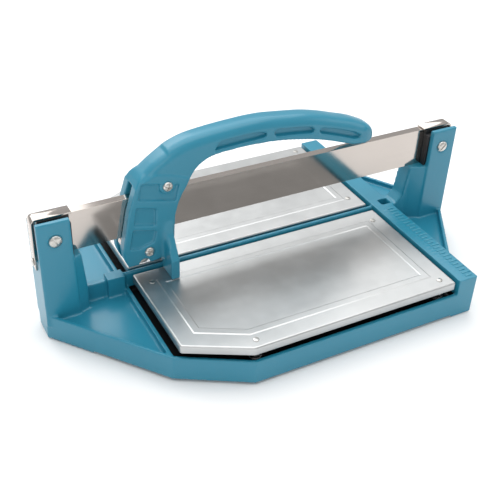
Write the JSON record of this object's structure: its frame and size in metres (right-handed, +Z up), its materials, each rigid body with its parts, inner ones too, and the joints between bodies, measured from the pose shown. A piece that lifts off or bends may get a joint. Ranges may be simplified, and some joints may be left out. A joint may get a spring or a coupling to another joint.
{
  "type": "push tile cutter",
  "caption": "Push tile cutter with a cast base, sprung steel tables, a flat guide bar on two posts and an arched rolling handle that scores and snaps tiles.",
  "frame": {"origin": "on the bench, under the middle of the guide bar", "axes": "+X along the guide bar towards the measuring rail, +Y to the back, +Z up"},
  "size_m": [0.4568, 0.3, 0.1786],
  "materials": {
    "blue_paint": "glossy powder coat",
    "bar_steel": "ground and hard-chromed flat bar",
    "plate_zinc": "galvanised sheet with a pressed bead",
    "fastener_steel": "zinc-plated steel",
    "spring_steel": "drawn spring wire",
    "carbide": "ground tungsten carbide",
    "black_rubber": "matt black rubber",
    "black_plastic": "matt black nylon"
  },
  "bodies": {
    "base": {"base_casting": "blue_paint", "rubber_feet": "black_rubber", "guide_bar": "bar_steel", "bar_liner_left": "black_plastic", "bar_liner_right": "black_plastic", "end_strap_left": "bar_steel", "end_strap_right": "bar_steel", "strap_screws": "fastener_steel", "bar_screws": "fastener_steel", "bar_nuts": "fastener_steel", "front_springs": "spring_steel", "rear_springs": "spring_steel"},
    "front_table": {"front_plate": "plate_zinc", "front_plate_pins": "fastener_steel", "front_clips": "spring_steel"},
    "rear_table": {"rear_plate": "plate_zinc", "rear_plate_pins": "fastener_steel", "rear_clips": "spring_steel"},
    "carriage": {"lower_axle": "fastener_steel"},
    "lower_roller": {"lower_roller": "bar_steel"},
    "handle": {"handle_casting": "blue_paint", "upper_axle_screw": "fastener_steel", "wheel_holder": "fastener_steel", "holder_screw": "fastener_steel", "carriage_nuts": "fastener_steel", "wheel_pin": "fastener_steel"},
    "upper_roller": {"upper_roller": "bar_steel"},
    "scoring_wheel": {"scoring_wheel": "carbide"}
  },
  "joints": [
    {"name": "carriage_travel", "type": "slide", "parent": "base", "child": "carriage", "axis": [1, 0, 0], "range_m": [-0.026, 0.225]},
    {"name": "handle_tilt", "type": "hinge", "parent": "carriage", "child": "handle", "pos_m": [-0.1385, 0, 0.0774], "axis": [0, -1, 0], "range_deg": [0, 20]},
    {"name": "lower_roller_spin", "type": "hinge", "parent": "carriage", "child": "lower_roller", "pos_m": [-0.1385, 0, 0.0774], "axis": [0, 1, 0], "continuous": true},
    {"name": "upper_roller_spin", "type": "hinge", "parent": "handle", "child": "upper_roller", "pos_m": [-0.1028, 0, 0.1355], "axis": [0, 1, 0], "continuous": true},
    {"name": "scoring_wheel_spin", "type": "hinge", "parent": "handle", "child": "scoring_wheel", "pos_m": [-0.127, 0, 0.0555], "axis": [0, 1, 0], "continuous": true},
    {"name": "front_table_drop", "type": "slide", "parent": "base", "child": "front_table", "axis": [0, 0, 1], "range_m": [-0.005, 0], "stiffness_N_per_m": 3000, "springref_m": 0.004, "deforming": ["front_springs"]},
    {"name": "rear_table_drop", "type": "slide", "parent": "base", "child": "rear_table", "axis": [0, 0, 1], "range_m": [-0.005, 0], "stiffness_N_per_m": 3000, "springref_m": 0.004, "deforming": ["rear_springs"]}
  ],
  "couplings": [
    {"joint": "lower_roller_spin", "follows": "carriage_travel", "rad_per_m": -125},
    {"joint": "upper_roller_spin", "follows": "carriage_travel", "rad_per_m": 105.26}
  ]
}
